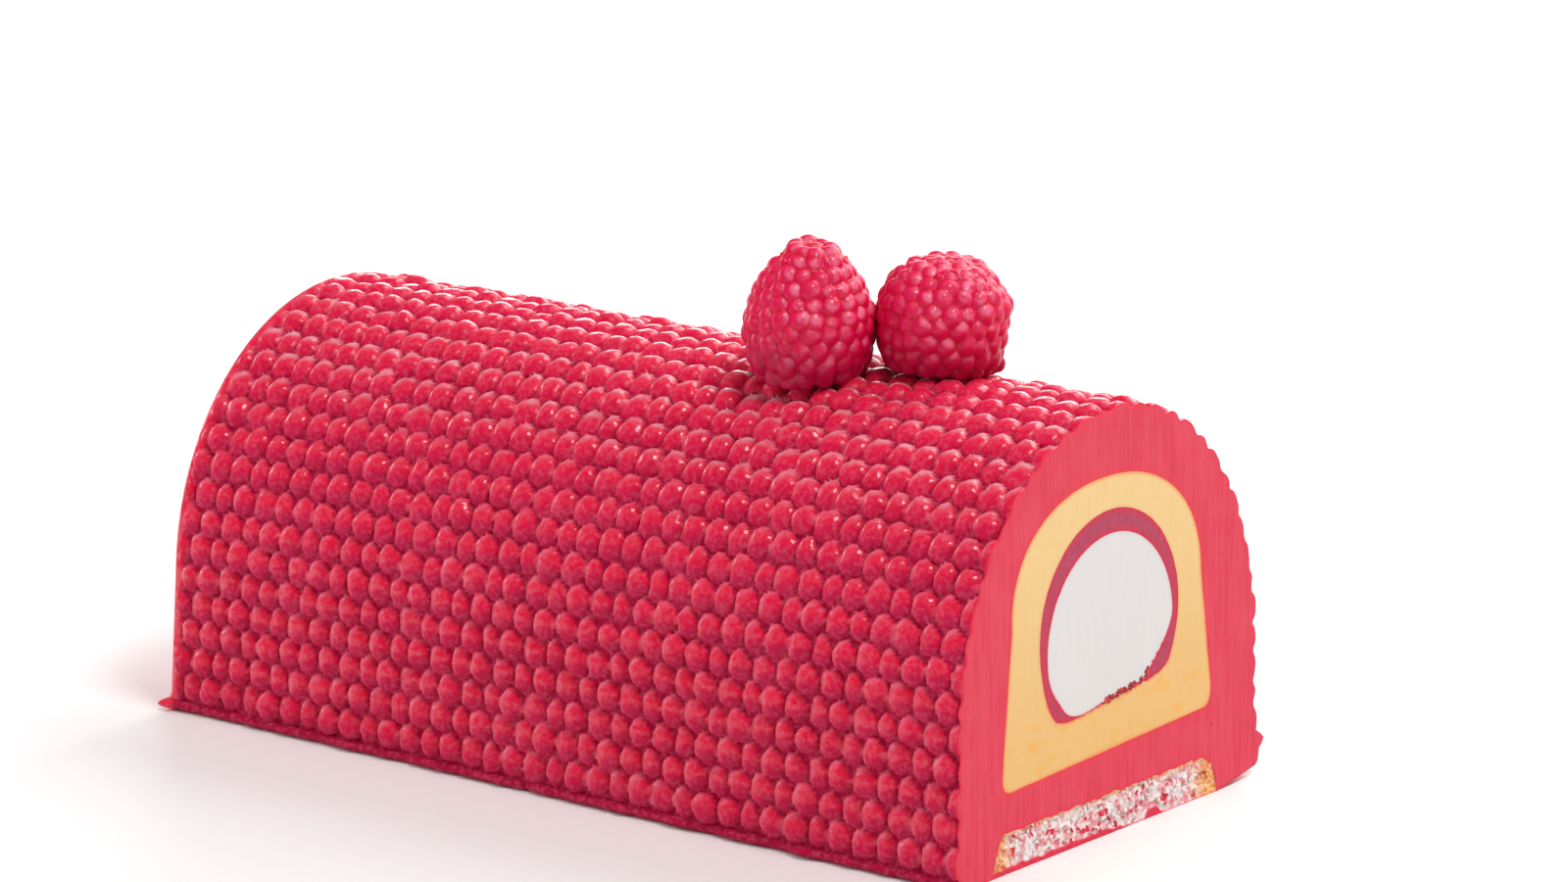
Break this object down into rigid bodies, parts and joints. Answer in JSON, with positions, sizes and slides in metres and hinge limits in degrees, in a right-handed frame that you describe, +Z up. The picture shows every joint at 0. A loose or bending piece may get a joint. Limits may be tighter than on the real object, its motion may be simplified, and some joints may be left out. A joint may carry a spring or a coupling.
{
  "type": "ice cream log cake",
  "caption": "Frozen dessert log with a knobbed raspberry sorbet shell, a yellow ice cream layer, a jam-ringed cream centre, a sponge base and raspberries on top, cut open at one end",
  "frame": {"origin": "middle of the flat underside", "axes": "+X along the log towards the cut face, +Y across it, +Z up"},
  "size_m": [0.1832, 0.0895, 0.097],
  "materials": {
    "sorbet": "frozen raspberry sorbet, moist and softly glossy, in small rounded knobs",
    "yellow_ice_cream": "smooth matte cut ice cream, pale mango yellow",
    "jam": "dark frozen berry jam, slightly glossy",
    "cream": "very even white cream, matte",
    "sponge": "pale open sponge crumb, dry and rough, stained in places by the sorbet",
    "raspberry": "fresh raspberry, soft sheen with a pale bloom on its drupelets"
  },
  "bodies": {
    "root": {"sorbet_log": "sorbet", "yellow_layer": "yellow_ice_cream", "jam_ring": "jam", "cream_core": "cream", "sponge_base": "sponge", "berry_left": "raspberry", "berry_right": "raspberry"}
  },
  "joints": []
}
